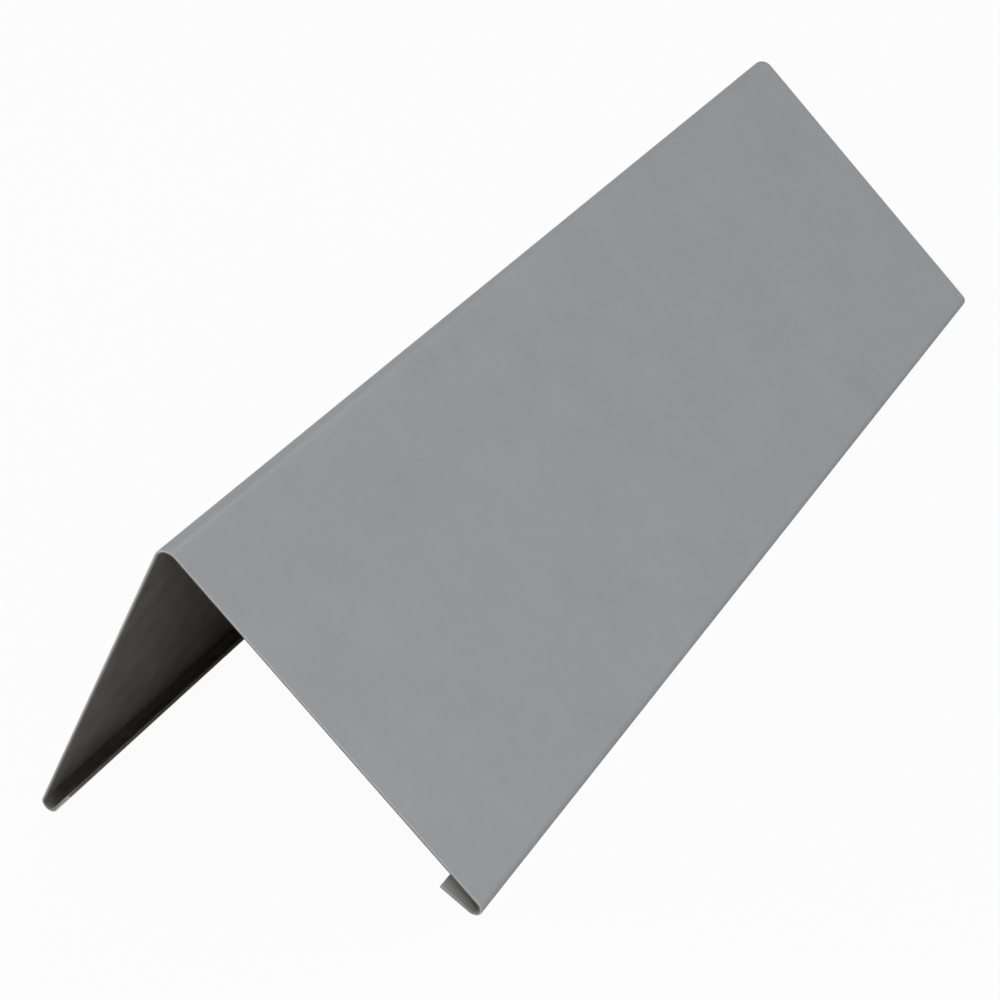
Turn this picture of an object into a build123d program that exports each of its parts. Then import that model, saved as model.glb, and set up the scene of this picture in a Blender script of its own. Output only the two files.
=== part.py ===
"""Ridge flashing: one folded sheet with a rounded ridge and an open hem along each lower edge.

The sheet stands like a tent on the folds of its two hems. +Y runs along the ridge, +X points to
the right wing, +Z is up, and the origin is on the floor below the middle of the ridge.
"""
import os
from math import cos, radians, sin, tan

from build123d import *

# Stock
LENGTH = 380.0
SHEET_THICKNESS = 1.0

# Wings: width down the slope, from the ridge's sharp corner to the outside of the hem's fold
WING_WIDTH = 125.0
RIDGE_ANGLE = 75.0
RIDGE_INSIDE_RADIUS = 3.5

# Hems: returned under the wings and left open, so that they hook over a cleat
HEM_DEPTH = 12.5
HEM_INSIDE_RADIUS = 1.75
HEM_OPENING_ANGLE = 13.0

# Sheared edges are rounded over by this much, so that they don't cut
EDGE_ROUNDING = 0.2

# Worked out from the sizes above
slope = (180.0 - RIDGE_ANGLE) / 2
ridge_radius = RIDGE_INSIDE_RADIUS + SHEET_THICKNESS
hem_radius = HEM_INSIDE_RADIUS + SHEET_THICKNESS
ridge_corner_length = ridge_radius * tan(radians(slope))
wing_flat = WING_WIDTH - ridge_corner_length - hem_radius
hem_turn = 180.0 - HEM_OPENING_ANGLE
lip_flat = HEM_DEPTH - hem_radius

# The hems' folds touch the floor, which sets the height of the ridge
ridge_corner_height = (
    hem_radius * (1 + cos(radians(slope)))
    + (WING_WIDTH - hem_radius) * sin(radians(slope))
)
ridge_centre_height = ridge_corner_height - ridge_radius / cos(radians(slope))
ridge_top = ridge_centre_height + ridge_radius

# The folded sheet
with BuildPart() as ridge_flashing:
    with BuildSketch(Plane.XZ) as section:
        with BuildLine() as right_half:
            # Outer face, from the top of the ridge down to the free end of the lip
            ridge_bend = JernArc(
                start=(0, ridge_top), tangent=(1, 0), radius=ridge_radius, arc_size=-slope
            )
            wing = PolarLine(start=ridge_bend @ 1, length=wing_flat, direction=ridge_bend % 1)
            hem_fold = JernArc(
                start=wing @ 1, tangent=wing % 1, radius=hem_radius, arc_size=-hem_turn
            )
            PolarLine(start=hem_fold @ 1, length=lip_flat, direction=hem_fold % 1)
            # The inner face lies one thickness inside it
            offset(amount=SHEET_THICKNESS, side=Side.RIGHT)
        make_face()
        mirror(about=Plane.YZ)
    extrude(amount=LENGTH / 2, both=True)

    # The sheared faces, at both ends and along the free edge of each lip, are the smallest flats
    sheared_faces = faces().filter_by(GeomType.PLANE).sort_by(SortBy.AREA)[:4]
    fillet(sheared_faces.edges(), radius=EDGE_ROUNDING)

ridge_flashing.part.label = "ridge_flashing"

os.makedirs("parts", exist_ok=True)
export_step(ridge_flashing.part, "parts/ridge_flashing.step")
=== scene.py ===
"""Ridge flashing: one folded, coil-coated metal sheet, standing on its two hems on a pale floor.

The sheet is worked out flat, as a slab with rounded edges, and then carried round its folds.
Everything is in metres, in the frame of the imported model: +Y along the ridge, +Z up.
"""
import logging
from dataclasses import dataclass
from enum import Enum
from typing import Any

import bmesh
import bpy
import numpy as np
from mathutils import Matrix, Vector

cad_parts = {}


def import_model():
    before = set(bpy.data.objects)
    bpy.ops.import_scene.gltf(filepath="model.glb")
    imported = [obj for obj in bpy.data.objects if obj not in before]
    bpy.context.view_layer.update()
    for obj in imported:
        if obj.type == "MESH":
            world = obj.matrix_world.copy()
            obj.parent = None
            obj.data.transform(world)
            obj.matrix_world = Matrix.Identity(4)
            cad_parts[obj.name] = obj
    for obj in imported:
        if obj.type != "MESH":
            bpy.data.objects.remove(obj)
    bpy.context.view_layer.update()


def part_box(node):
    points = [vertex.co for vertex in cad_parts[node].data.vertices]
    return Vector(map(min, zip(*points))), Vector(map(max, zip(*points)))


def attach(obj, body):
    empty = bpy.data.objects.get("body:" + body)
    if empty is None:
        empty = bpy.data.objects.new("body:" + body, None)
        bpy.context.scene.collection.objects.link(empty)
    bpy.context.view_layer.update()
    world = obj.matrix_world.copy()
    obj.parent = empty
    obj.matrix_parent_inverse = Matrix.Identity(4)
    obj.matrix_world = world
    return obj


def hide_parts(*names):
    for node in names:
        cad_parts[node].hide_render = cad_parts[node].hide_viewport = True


MM = 0.001
SHEET_NODE = "ridge_flashing"
BODY = "root"
DEVELOPED_MAP = "developed_sheet"
DEPTH_ATTRIBUTE = "depth"
EDGE_ATTRIBUTE = "edge_distance"

COATING_IOR = 1.5

# Sockets of the node that mixes two colours, numbered because their names repeat
MIX_SHARE = 0
MIX_FIRST = 6
MIX_SECOND = 7
MIX_RESULT = 2

# Sockets of the node that mixes two shaders
SHADER_SHARE = 0
SHADER_FIRST = 1
SHADER_SECOND = 2

log = logging.getLogger(SHEET_NODE)


class Surface(Enum):
    """What a stretch of the sheet's skin shows, in the order of the piece's material slots."""

    FACE = 0
    BACK = 1
    SHEARED = 2


def linear(hex_colour: str) -> tuple[float, float, float, float]:
    """Turns an sRGB hex colour into linear light, by the curve of the sRGB standard.

    Args:
        hex_colour: six hex digits, such as "9a9fa1".

    Returns:
        Red, green, blue and an alpha of 1, each from 0 to 1.
    """
    srgb = np.array([int(hex_colour[i:i + 2], 16) for i in (0, 2, 4)]) / 255
    light = np.where(srgb <= 0.04045, srgb / 12.92, ((srgb + 0.055) / 1.055) ** 2.4)
    return (*(float(channel) for channel in light), 1.0)


def add_node(
    tree: bpy.types.NodeTree,
    kind: str,
    values: dict[str | int, Any] | None = None,
    links: dict[str | int, bpy.types.NodeSocket] | None = None,
    **settings: Any,
) -> bpy.types.Node:
    """Adds one shader node with its settings, constant inputs and links.

    Args:
        tree: the node tree that it goes into.
        kind: Blender's name of the node's type.
        values: constant inputs, by socket name or number.
        links: output sockets that feed it, by socket name or number.
        settings: attributes of the node itself.

    Returns:
        The new node.
    """
    node = tree.nodes.new(kind)
    for name, value in settings.items():
        setattr(node, name, value)
    for socket, value in (values or {}).items():
        node.inputs[socket].default_value = value
    for socket, source in (links or {}).items():
        tree.links.new(source, node.inputs[socket])
    return node


def empty_material(name: str) -> tuple[bpy.types.Material, bpy.types.NodeTree]:
    """Makes a node material that holds nothing yet.

    Args:
        name: the material's name.

    Returns:
        The material and its node tree.
    """
    material = bpy.data.materials.new(name)
    material.use_nodes = True
    material.node_tree.nodes.clear()
    return material, material.node_tree


@dataclass(frozen=True)
class CoilCoat:
    """Polyester coil coating, rolled on flat and stoved before the sheet is folded.

    The roller leaves an even satin film with a faint orange peel. To the eye it is one cool grey
    with clouds too weak to place, and a soft glow instead of a mirror image.
    """

    name: str = "coil_coat_satin_grey"
    colour: str = "9ca0a3"
    cloud_colour: str = "8c9093"
    roughness: float = 0.34
    cloud_mm: float = 30.0
    cloud_detail: float = 5.0
    cloud_roughness: float = 0.85
    peel_mm: float = 1.1
    peel_detail: float = 1.0
    peel_depth_mm: float = 0.004

    def build(self) -> bpy.types.Material:
        """Builds the material: clouds in the colour, orange peel in the bump."""
        material, tree = empty_material(self.name)
        place = add_node(tree, "ShaderNodeUVMap", uv_map=DEVELOPED_MAP)
        clouds = add_node(
            tree,
            "ShaderNodeTexNoise",
            {
                "Scale": 1 / (self.cloud_mm * MM),
                "Detail": self.cloud_detail,
                "Roughness": self.cloud_roughness,
            },
            {"Vector": place.outputs["UV"]},
        )
        colour = add_node(
            tree,
            "ShaderNodeMix",
            {MIX_FIRST: linear(self.colour), MIX_SECOND: linear(self.cloud_colour)},
            {MIX_SHARE: clouds.outputs["Fac"]},
            data_type="RGBA",
        )
        peel = add_node(
            tree,
            "ShaderNodeTexNoise",
            {"Scale": 1 / (self.peel_mm * MM), "Detail": self.peel_detail},
            {"Vector": place.outputs["UV"]},
        )
        bump = add_node(
            tree,
            "ShaderNodeBump",
            {"Strength": 1.0, "Distance": self.peel_depth_mm * MM},
            {"Height": peel.outputs["Fac"]},
        )
        shader = add_node(
            tree,
            "ShaderNodeBsdfPrincipled",
            {"Roughness": self.roughness, "IOR": COATING_IOR},
            {"Base Color": colour.outputs[MIX_RESULT], "Normal": bump.outputs["Normal"]},
        )
        add_node(tree, "ShaderNodeOutputMaterial", links={"Surface": shader.outputs["BSDF"]})
        return material


@dataclass(frozen=True)
class BackingCoat:
    """Epoxy backing coat, a thin wash rolled on the side that faces the roof.

    It is thinner and duller than the face coat, so it is cloudy. Towards the strip's slit edges,
    which end up as the lips of the hems, it is painted paler: painted light, where the lips' free
    edges catch more light than the folds behind them.
    """

    name: str = "backing_coat_warm_grey"
    colour: str = "817d76"
    cloud_colour: str = "4b4843"
    lip_painted_light_colour: str = "a3a19e"
    painted_light_reach_mm: float = 14.0
    roughness: float = 0.5
    cloud_width_mm: float = 14.0
    cloud_length_mm: float = 10.0
    cloud_detail: float = 2.0
    cloud_roughness: float = 0.5

    def build(self) -> bpy.types.Material:
        """Builds the material: clouds in the colour, then painted light, paler towards the lips'
        edges.
        """
        material, tree = empty_material(self.name)
        place = add_node(tree, "ShaderNodeUVMap", uv_map=DEVELOPED_MAP)
        stretched = add_node(
            tree,
            "ShaderNodeMapping",
            {"Scale": (1 / (self.cloud_width_mm * MM), 1 / (self.cloud_length_mm * MM), 1.0)},
            {"Vector": place.outputs["UV"]},
        )
        clouds = add_node(
            tree,
            "ShaderNodeTexNoise",
            {"Scale": 1.0, "Detail": self.cloud_detail, "Roughness": self.cloud_roughness},
            {"Vector": stretched.outputs["Vector"]},
        )
        cloudy = add_node(
            tree,
            "ShaderNodeMix",
            {MIX_FIRST: linear(self.colour), MIX_SECOND: linear(self.cloud_colour)},
            {MIX_SHARE: clouds.outputs["Fac"]},
            data_type="RGBA",
        )
        # Painted light: the coat turns paler towards the lips' free edges, where more light
        # reaches into the hems.
        edge = add_node(tree, "ShaderNodeAttribute", attribute_name=EDGE_ATTRIBUTE)
        painted_light_share = add_node(
            tree,
            "ShaderNodeMapRange",
            {"From Min": self.painted_light_reach_mm * MM, "From Max": 0.0},
            {"Value": edge.outputs["Fac"]},
        )
        painted_lit = add_node(
            tree,
            "ShaderNodeMix",
            {MIX_SECOND: linear(self.lip_painted_light_colour)},
            {MIX_SHARE: painted_light_share.outputs["Result"], MIX_FIRST: cloudy.outputs[MIX_RESULT]},
            data_type="RGBA",
        )
        shader = add_node(
            tree,
            "ShaderNodeBsdfPrincipled",
            {"Roughness": self.roughness, "IOR": COATING_IOR},
            {"Base Color": painted_lit.outputs[MIX_RESULT]},
        )
        add_node(tree, "ShaderNodeOutputMaterial", links={"Surface": shader.outputs["BSDF"]})
        return material


@dataclass(frozen=True)
class ShearedMetal:
    """Bare metal of the coil, cut by a shear.

    The blade burnishes the half of the thickness next to the face, and the rest breaks away
    duller and darker. The burnished half is also painted paler than its bare metal, a painted
    highlight along the face side of the cut.
    """

    name: str = "sheared_bare_metal"
    burnish_and_highlight_colour: str = "dad5d0"
    broken_colour: str = "928d87"
    roughness: float = 0.55
    burnish_and_highlight_share: float = 0.5
    blend_share: float = 0.08

    def build(self) -> bpy.types.Material:
        """Builds the material: the depth attribute, from 0 at the face to 1 at the back, picks."""
        material, tree = empty_material(self.name)
        depth = add_node(tree, "ShaderNodeAttribute", attribute_name=DEPTH_ATTRIBUTE)
        band = add_node(
            tree,
            "ShaderNodeMapRange",
            {
                "From Min": self.burnish_and_highlight_share - self.blend_share,
                "From Max": self.burnish_and_highlight_share + self.blend_share,
            },
            {"Value": depth.outputs["Fac"]},
        )
        # Paler on the burnished half: partly the real burnish, partly a painted highlight.
        colour = add_node(
            tree,
            "ShaderNodeMix",
            {MIX_FIRST: linear(self.burnish_and_highlight_colour), MIX_SECOND: linear(self.broken_colour)},
            {MIX_SHARE: band.outputs["Result"]},
            data_type="RGBA",
        )
        shader = add_node(
            tree,
            "ShaderNodeBsdfPrincipled",
            {"Roughness": self.roughness, "Metallic": 1.0},
            {"Base Color": colour.outputs[MIX_RESULT]},
        )
        add_node(tree, "ShaderNodeOutputMaterial", links={"Surface": shader.outputs["BSDF"]})
        return material


@dataclass(frozen=True)
class Patch:
    """A grid of points on the sheet's skin.

    points has rows x columns x 3 numbers. unfolded, the place on the developed sheet, has rows x
    columns x 2. depth, the distance below the face, and edge_distance, that from the nearer
    lip's free edge along the sheet, have rows x columns.
    """

    points: np.ndarray
    unfolded: np.ndarray
    depth: np.ndarray
    edge_distance: np.ndarray

    def quads(self) -> np.ndarray:
        """Numbers the four corners of each of the grid's quads, one row a quad."""
        numbers = np.arange(self.depth.size).reshape(self.depth.shape)
        corners = (numbers[:-1, :-1], numbers[:-1, 1:], numbers[1:, 1:], numbers[1:, :-1])
        return np.stack(corners, axis=-1).reshape(-1, 4)


@dataclass(frozen=True)
class FoldedSheet:
    """The flashing itself: two wings, a rounded ridge, and a hem returned under each wing.

    The frame's box gives its half width, height and length. The other fields are its folds, its
    edges and the fineness of its mesh. Sizes are in metres and angles in radians.
    """

    half_width: float
    height: float
    length: float
    thickness: float = 1.0 * MM
    ridge_inside_radius: float = 3.5 * MM
    hem_inside_radius: float = 1.75 * MM
    hem_depth: float = 12.5 * MM
    hem_opening: float = float(np.radians(13.0))
    edge_rounding: float = 0.2 * MM
    dish_depth: float = 0.06 * MM
    dish_mean: float = 0.6
    dish_swing: float = 0.2
    dish_waves: tuple[float, float] = (1.6, 3.7)
    dish_wave_lag: float = 1.3
    dish_left_lag: float = 2.1
    ridge_steps: int = 14
    wing_steps: int = 40
    hem_steps: int = 34
    lip_steps: int = 6
    length_steps: int = 90
    rounding_steps: int = 4
    cut_steps: int = 5
    gathering: float = 0.985
    slack: float = 0.001 * MM

    @classmethod
    def from_frame(cls) -> "FoldedSheet":
        """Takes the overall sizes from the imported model's box."""
        low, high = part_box(SHEET_NODE)
        return cls(half_width=high.x, height=high.z, length=high.y - low.y)

    @property
    def ridge_radius(self) -> float:
        """Outside radius of the ridge bend."""
        return self.ridge_inside_radius + self.thickness

    @property
    def hem_radius(self) -> float:
        """Outside radius of the hem's fold."""
        return self.hem_inside_radius + self.thickness

    @property
    def hem_turn(self) -> float:
        """How far the hem's fold turns the sheet."""
        return np.pi - self.hem_opening

    @property
    def cut(self) -> np.ndarray:
        """Depths below the face across a sheared edge, from one rounding to the other."""
        deep = self.thickness - self.edge_rounding
        return np.linspace(self.edge_rounding, deep, self.cut_steps + 1)

    def wing(self) -> tuple[float, float]:
        """Finds the wing as the common tangent of the ridge bend and the hem's fold.

        The ridge bend's centre lies one radius below the top, the hem's one radius inside the
        box's bottom corner. The tangent turns from the line of centres by the angle whose sine
        is the difference of the radii over the distance of the centres.

        Returns:
            The wing's slope, and the length of its flat.
        """
        across = self.half_width - self.hem_radius
        down = self.height - self.ridge_radius - self.hem_radius
        apart = float(np.hypot(across, down))
        difference = self.ridge_radius - self.hem_radius
        slope = float(np.arctan2(down, across) + np.arcsin(difference / apart))
        return slope, float(np.sqrt(apart**2 - difference**2))

    def runs(self) -> tuple[float, float, float, float]:
        """Lengths along the face of the half ridge bend, the wing's flat, the fold and the lip."""
        slope, flat = self.wing()
        lip = self.hem_depth - self.hem_radius
        return self.ridge_radius * slope, flat, self.hem_radius * self.hem_turn, lip

    def gathered(self, steps: int) -> np.ndarray:
        """Shares of a straight run, from 0 to 1, drawn together towards both of its ends.

        Args:
            steps: how many steps the run has.

        Returns:
            share - gathering * sin(2 pi share) / (2 pi), for even shares.
        """
        even = np.linspace(0, 1, steps + 1)
        return even - self.gathering * np.sin(2 * np.pi * even) / (2 * np.pi)

    def samples(self) -> np.ndarray:
        """Places points across the flat sheet, close together in the folds.

        Returns:
            Distances from the top of the ridge along the face, negative to the left, from one
            lip's rounding to the other's.
        """
        ridge, flat, fold, lip = self.runs()
        ends = np.cumsum([0.0, ridge, flat, fold, lip - self.edge_rounding])
        shares = (
            np.linspace(0, 1, self.ridge_steps + 1),
            self.gathered(self.wing_steps),
            np.linspace(0, 1, self.hem_steps + 1),
            self.gathered(self.lip_steps),
        )
        half = np.concatenate([
            start + (end - start) * share[1:] for start, end, share in zip(ends, ends[1:], shares)
        ])
        return np.concatenate([-half[::-1], [0.0], half])

    def edge_distance(self, across: np.ndarray) -> np.ndarray:
        """Measures along the sheet from the nearer lip's free edge.

        Args:
            across: distances from the top of the ridge along the face, negative to the left.

        Returns:
            The distances from the free edge.
        """
        return sum(self.runs()) - np.abs(across)

    def dish(self, reach: np.ndarray, along: np.ndarray, right: np.ndarray) -> np.ndarray:
        """Sinks the wings into shallow dishes, as flat sheet does between two folds.

        Over a wing's flat, depth * sin(pi u)^2 * (mean + swing * two slow waves along the ridge),
        where u is the share of the flat. The folds and the lips stay as they are.

        Args:
            reach: distances from the top of the ridge along the face.
            along: places along the ridge.
            right: whether each point is on the right wing.

        Returns:
            How far the sheet sinks inwards there.
        """
        ridge, flat, _, _ = self.runs()
        share = np.clip((reach - ridge) / flat, 0, 1)
        phase = 2 * np.pi * along / self.length + np.where(right, 0.0, self.dish_left_lag)
        slow, quick = self.dish_waves
        waves = np.sin(slow * phase) + np.sin(quick * phase + self.dish_wave_lag)
        swell = self.dish_mean + self.dish_swing * waves
        return self.dish_depth * np.sin(np.pi * share) ** 2 * swell

    def fold(self, across: np.ndarray, along: np.ndarray, depth: np.ndarray) -> np.ndarray:
        """Carries points of the flat sheet round the ridge bend and the hems.

        The face's heading is an angle below +X. A bend of radius r that turns it from a to b
        moves the face by r * (sin b - sin a) in x and r * (cos b - cos a) in z. A flat of length
        d moves it by d * cos a and -d * sin a. A point then lies its depth below the face, in
        the direction (-sin b, -cos b). The left half is the mirror image of the right.

        Args:
            across: distances from the top of the ridge along the face, negative to the left.
            along: places along the ridge.
            depth: distances below the face.

        Returns:
            The points on the folded sheet.
        """
        slope, _ = self.wing()
        ridge, flat, fold, _ = self.runs()
        reach = np.abs(across)
        bent = np.clip(reach, 0, ridge) / self.ridge_radius
        down = np.clip(reach - ridge, 0, flat)
        hemmed = slope + np.clip(reach - ridge - flat, 0, fold) / self.hem_radius
        back = np.clip(reach - ridge - flat - fold, 0, None)
        lip = slope + self.hem_turn
        heading = bent + hemmed - slope
        sunk = depth + self.dish(reach, along, across > 0)
        x = (
            self.ridge_radius * np.sin(bent) + down * np.cos(slope)
            + self.hem_radius * (np.sin(hemmed) - np.sin(slope)) + back * np.cos(lip)
            - sunk * np.sin(heading)
        )
        z = (
            self.height + self.ridge_radius * (np.cos(bent) - 1) - down * np.sin(slope)
            + self.hem_radius * (np.cos(hemmed) - np.cos(slope)) - back * np.sin(lip)
            - sunk * np.cos(heading)
        )
        return np.stack([np.sign(across) * x, along, z], axis=-1)

    def outline(self) -> np.ndarray:
        """Goes once round the section of the flat sheet.

        A slab with rounded edges is a core, set in by the rounding all round, grown by a ball
        of that radius: each point is core + rounding * outward. The way back along the back is
        the way out along the face, given half a turn about the section's middle.

        Returns:
            One row a point: core across, core depth, outward across and outward depth.
        """
        samples, cut = self.samples(), self.cut
        quarter = np.linspace(0, np.pi / 2, self.rounding_steps + 1)
        way_out = np.vstack([
            np.column_stack(np.broadcast_arrays(*stretch))
            for stretch in (
                (samples, cut[0], 0.0, -1.0),
                (samples[-1], cut[0], np.sin(quarter[1:]), -np.cos(quarter[1:])),
                (samples[-1], cut[1:-1], 1.0, 0.0),
                (samples[-1], cut[-1], np.cos(quarter[:-1]), np.sin(quarter[:-1])),
            )
        ])
        way_back = np.array([0.0, self.thickness, 0.0, 0.0]) - way_out
        return np.vstack([way_out, way_back, way_out[:1]])

    def stations(self) -> tuple[np.ndarray, np.ndarray]:
        """Places the rings of points along the ridge.

        Returns:
            Each ring's place on the core, and how far it leans over an end, up to a quarter
            turn either way.
        """
        end = self.length / 2 - self.edge_rounding
        over = np.linspace(0, np.pi / 2, self.rounding_steps + 1)
        between = end * (2 * self.gathered(self.length_steps) - 1)[1:-1]
        core = np.concatenate([0 * over - end, between, 0 * over + end])
        return core, np.concatenate([-over[::-1], 0 * between, over])

    def skin(self) -> Patch:
        """Covers the face, the back and the lips' edges, rounded over at both sheared ends.

        Where a ring leans over an end by an angle a, its outward direction has cos a in the
        section and sin a along the ridge.

        Returns:
            The patch, with a ring of points in each row.
        """
        core_across, core_depth, out_across, out_depth = self.outline().T
        core_along, lean = (values[:, None] for values in self.stations())
        grown = self.edge_rounding * np.cos(lean)
        across = core_across + grown * out_across
        depth = core_depth + grown * out_depth
        along = core_along + self.edge_rounding * np.sin(lean) + 0 * across
        middle = len(lean) // 2
        steps = np.hypot(np.diff(across[middle]), np.diff(depth[middle]))
        round_section = np.concatenate([[0.0], np.cumsum(steps)])
        unfolded = np.stack(
            [round_section + 0 * across, core_along + self.edge_rounding * lean + 0 * across],
            axis=-1,
        )
        return Patch(
            self.fold(across, along, depth), unfolded, depth, self.edge_distance(across)
        )

    def end_cut(self, side: int) -> Patch:
        """Covers the flat of one sheared end, from rounding to rounding.

        Args:
            side: -1 for the near end, 1 for the far end.

        Returns:
            The patch, with one crossing of the thickness in each row.
        """
        across, depth = np.meshgrid(self.samples(), self.cut[::-side], indexing="ij")
        along = np.full_like(depth, side * self.length / 2)
        unfolded = np.stack([across - across[0], along + side * depth], axis=-1)
        return Patch(
            self.fold(across, along, depth), unfolded, depth, self.edge_distance(across)
        )

    def surfaces(self, depth: np.ndarray) -> np.ndarray:
        """Tells what each quad shows from the depths of its corners.

        Both coats stay on the roundings, and the flat of the cut between them is bare.

        Args:
            depth: four depths below the face in each row.

        Returns:
            Each quad's number among the material slots.
        """
        coated = depth.max(axis=1) < self.edge_rounding + self.slack
        backed = depth.min(axis=1) > self.thickness - self.edge_rounding - self.slack
        numbers = np.where(backed, Surface.BACK.value, Surface.SHEARED.value)
        return np.where(coated, Surface.FACE.value, numbers)

    def build(self) -> bpy.types.Object:
        """Joins the patches into one closed mesh and dresses it.

        Returns:
            The finished sheet.
        """
        patches = (self.skin(), self.end_cut(-1), self.end_cut(1))
        firsts = np.cumsum([0] + [patch.depth.size for patch in patches])
        points = np.vstack([patch.points.reshape(-1, 3) for patch in patches])
        unfolded = np.vstack([patch.unfolded.reshape(-1, 2) for patch in patches])
        depth = np.concatenate([patch.depth.ravel() for patch in patches])
        edge_distance = np.concatenate([patch.edge_distance.ravel() for patch in patches])
        quads = np.vstack([patch.quads() + first for patch, first in zip(patches, firsts)])

        mesh = bpy.data.meshes.new("folded_sheet")
        mesh.from_pydata(points.tolist(), [], quads.tolist())
        mesh.uv_layers.new(name=DEVELOPED_MAP).uv.foreach_set("vector", unfolded[quads].ravel())
        share = mesh.attributes.new(DEPTH_ATTRIBUTE, "FLOAT", "POINT")
        share.data.foreach_set("value", depth / self.thickness)
        inset = mesh.attributes.new(EDGE_ATTRIBUTE, "FLOAT", "POINT")
        inset.data.foreach_set("value", edge_distance)
        for finish in (CoilCoat(), BackingCoat(), ShearedMetal()):
            mesh.materials.append(finish.build())
        mesh.polygons.foreach_set("material_index", self.surfaces(depth[quads]))
        mesh.shade_smooth()

        welded = bmesh.new()
        welded.from_mesh(mesh)
        bmesh.ops.remove_doubles(welded, verts=welded.verts[:], dist=2 * self.slack)
        welded.to_mesh(mesh)
        welded.free()
        sheet = bpy.data.objects.new("folded_sheet", mesh)
        bpy.context.collection.objects.link(sheet)
        return sheet


@dataclass(frozen=True)
class PhotoCamera:
    """The camera that took the photograph, aimed at a point low down under the left wing.

    Angles are in degrees. The focal length is in pixels of the square image.
    """

    azimuth: float = 34.601
    elevation: float = 27.581
    roll: float = 10.572
    target: tuple[float, float, float] = (-27.363 * MM, 0.0, 5.204 * MM)
    distance: float = 712.506 * MM
    focal_px: float = 2058.0
    image_px: float = 1000.0
    sensor_mm: float = 36.0

    def build(self) -> bpy.types.Object:
        """Makes the camera the scene's own.

        Ahead is (-sin az cos el, cos az cos el, -sin el), right is (cos az, sin az, 0) and down
        is their cross product. The roll turns the image's right and down about ahead.

        Returns:
            The camera.
        """
        azimuth, elevation, roll = np.radians([self.azimuth, self.elevation, self.roll])
        ahead = np.array([
            -np.sin(azimuth) * np.cos(elevation),
            np.cos(azimuth) * np.cos(elevation),
            -np.sin(elevation),
        ])
        right = np.array([np.cos(azimuth), np.sin(azimuth), 0.0])
        down = np.cross(ahead, right)
        image_right = right * np.cos(roll) + down * np.sin(roll)
        image_down = down * np.cos(roll) - right * np.sin(roll)
        place = np.array(self.target) - self.distance * ahead

        lens = bpy.data.cameras.new("photo_camera")
        lens.sensor_width = self.sensor_mm
        lens.lens = self.focal_px / self.image_px * self.sensor_mm
        camera = bpy.data.objects.new("photo_camera", lens)
        turn = Matrix(np.column_stack([image_right, -image_down, -ahead]).tolist())
        camera.matrix_world = Matrix.Translation(place.tolist()) @ turn.to_4x4()
        bpy.context.collection.objects.link(camera)
        bpy.context.scene.camera = camera
        return camera


@dataclass(frozen=True)
class Softbox:
    """A square soft light that looks at the middle of the object from afar."""

    name: str
    azimuth: float
    elevation: float
    watts: float
    size: float = 1.2
    distance: float = 3.0

    def build(self) -> bpy.types.Object:
        """Hangs the light at its azimuth and elevation, in degrees, and turns it inwards."""
        azimuth, elevation = np.radians([self.azimuth, self.elevation])
        away = Vector((
            float(np.sin(azimuth) * np.cos(elevation)),
            float(-np.cos(azimuth) * np.cos(elevation)),
            float(np.sin(elevation)),
        ))
        lamp = bpy.data.lights.new(self.name, "AREA")
        lamp.size = self.size
        lamp.energy = self.watts
        light = bpy.data.objects.new(self.name, lamp)
        turn = away.to_track_quat("Z", "Y").to_matrix().to_4x4()
        light.matrix_world = Matrix.Translation(away * self.distance) @ turn
        bpy.context.collection.objects.link(light)
        return light


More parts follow.
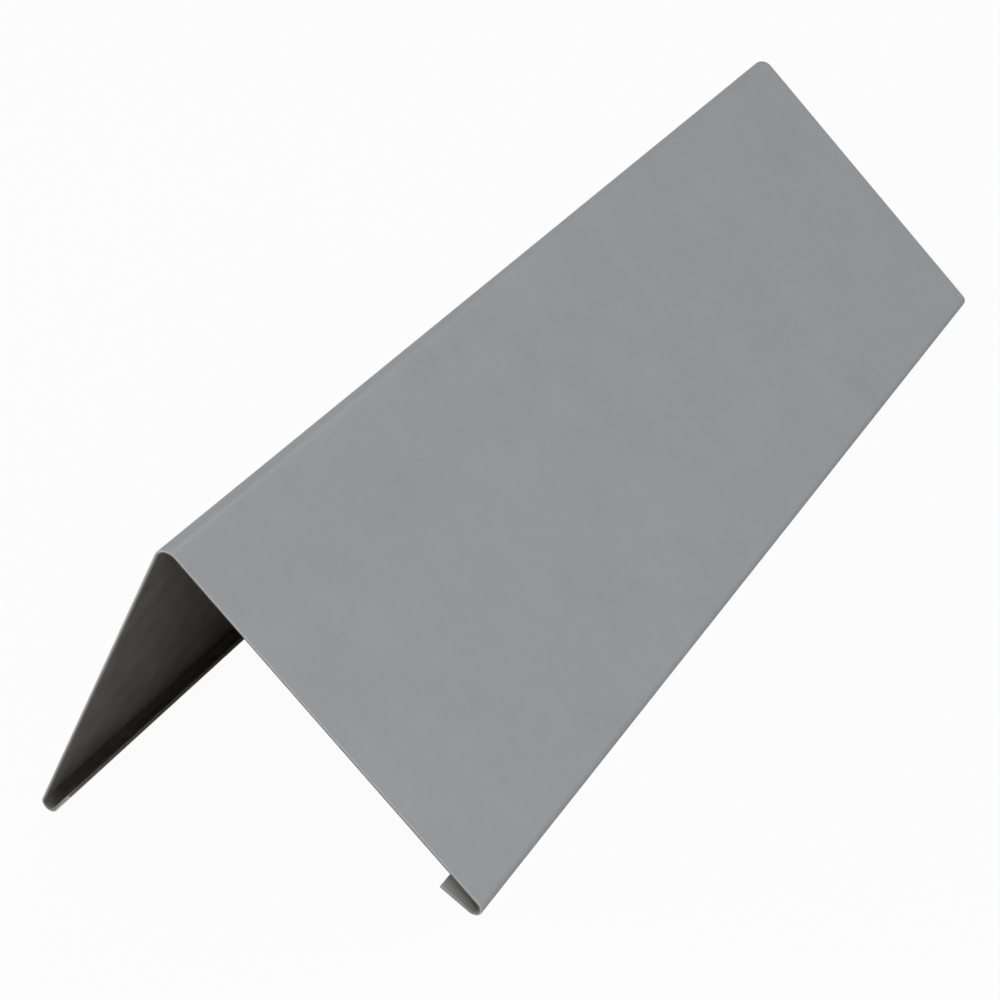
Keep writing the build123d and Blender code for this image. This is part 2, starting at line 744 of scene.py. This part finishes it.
@dataclass(frozen=True)
class Studio:
    """A plain pale floor in a pale room, with large soft lights on all sides.

    The lights on the right and near the camera level out the face. Those in front of the near
    end reach under the ridge and into the hems.
    """

    pale: str = "fdfdfd"
    floor_bounce: str = "b4b4b4"
    floor_glow: float = 0.975
    floor_size: float = 20.0
    room_strength: float = 0.33
    softboxes: tuple[Softbox, ...] = (
        Softbox("right_softbox", azimuth=90.0, elevation=15.0, watts=21.0),
        Softbox("key_softbox", azimuth=55.0, elevation=15.0, watts=21.0),
        Softbox("front_softbox", azimuth=0.0, elevation=15.0, watts=27.0),
        Softbox("top_softbox", azimuth=0.0, elevation=70.0, watts=22.0),
        Softbox("left_softbox", azimuth=-75.0, elevation=18.0, watts=40.0),
        Softbox("back_softbox", azimuth=168.0, elevation=58.0, watts=6.0),
    )

    def build_room(self) -> None:
        """Lights everything evenly from all around.

        Seen directly, the room is as pale as the floor.
        """
        world = bpy.data.worlds.new("pale_room")
        world.use_nodes = True
        tree = world.node_tree
        tree.nodes.clear()
        rays = add_node(tree, "ShaderNodeLightPath")
        light = add_node(
            tree,
            "ShaderNodeBackground",
            {"Color": linear(self.pale), "Strength": self.room_strength},
        )
        seen = add_node(tree, "ShaderNodeBackground", {"Color": linear(self.pale)})
        both = add_node(
            tree,
            "ShaderNodeMixShader",
            links={
                SHADER_SHARE: rays.outputs["Is Camera Ray"],
                SHADER_FIRST: light.outputs["Background"],
                SHADER_SECOND: seen.outputs["Background"],
            },
        )
        add_node(tree, "ShaderNodeOutputWorld", links={"Surface": both.outputs["Shader"]})
        bpy.context.scene.world = world

    def floor_finish(self) -> bpy.types.Material:
        """Paper that is over-lit, so that only a trace of the shadow is seen on it.

        Seen directly it is mostly a pale glow. What it throws back at the object is the light
        of plain light grey paper.

        Returns:
            The material.
        """
        material, tree = empty_material("over_lit_paper")
        paper = add_node(tree, "ShaderNodeBsdfDiffuse", {"Color": linear(self.pale)})
        glow = add_node(tree, "ShaderNodeEmission", {"Color": linear(self.pale)})
        seen = add_node(
            tree,
            "ShaderNodeMixShader",
            {SHADER_SHARE: self.floor_glow},
            {SHADER_FIRST: paper.outputs["BSDF"], SHADER_SECOND: glow.outputs["Emission"]},
        )
        bounce = add_node(tree, "ShaderNodeBsdfDiffuse", {"Color": linear(self.floor_bounce)})
        rays = add_node(tree, "ShaderNodeLightPath")
        both = add_node(
            tree,
            "ShaderNodeMixShader",
            links={
                SHADER_SHARE: rays.outputs["Is Camera Ray"],
                SHADER_FIRST: bounce.outputs["BSDF"],
                SHADER_SECOND: seen.outputs["Shader"],
            },
        )
        add_node(tree, "ShaderNodeOutputMaterial", links={"Surface": both.outputs["Shader"]})
        return material

    def build_floor(self) -> bpy.types.Object:
        """Lays the floor at height zero, under the two hems.

        Returns:
            The floor.
        """
        half = self.floor_size / 2
        corners = [(-half, -half, 0), (half, -half, 0), (half, half, 0), (-half, half, 0)]
        mesh = bpy.data.meshes.new("paper_floor")
        mesh.from_pydata(corners, [], [(0, 1, 2, 3)])
        mesh.materials.append(self.floor_finish())
        floor = bpy.data.objects.new("paper_floor", mesh)
        bpy.context.collection.objects.link(floor)
        return floor

    def build(self) -> None:
        """Sets up the room, the floor, the lights and an untinted view of them."""
        self.build_room()
        self.build_floor()
        for softbox in self.softboxes:
            softbox.build()
        bpy.context.scene.view_settings.view_transform = "Standard"


def main() -> None:
    """Builds the flashing on its frame, then the studio and the camera."""
    logging.basicConfig(level=logging.INFO, format="%(name)s: %(message)s")
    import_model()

    folded = FoldedSheet.from_frame()
    sheet = folded.build()
    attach(sheet, BODY)
    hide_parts(SHEET_NODE)
    slope, flat = folded.wing()
    log.info(
        "%s: %d faces, wings %.1f mm flat at %.2f degrees",
        sheet.name, len(sheet.data.polygons), flat / MM, np.degrees(slope),
    )

    Studio().build()
    PhotoCamera().build()


if __name__ == "__main__":
    main()
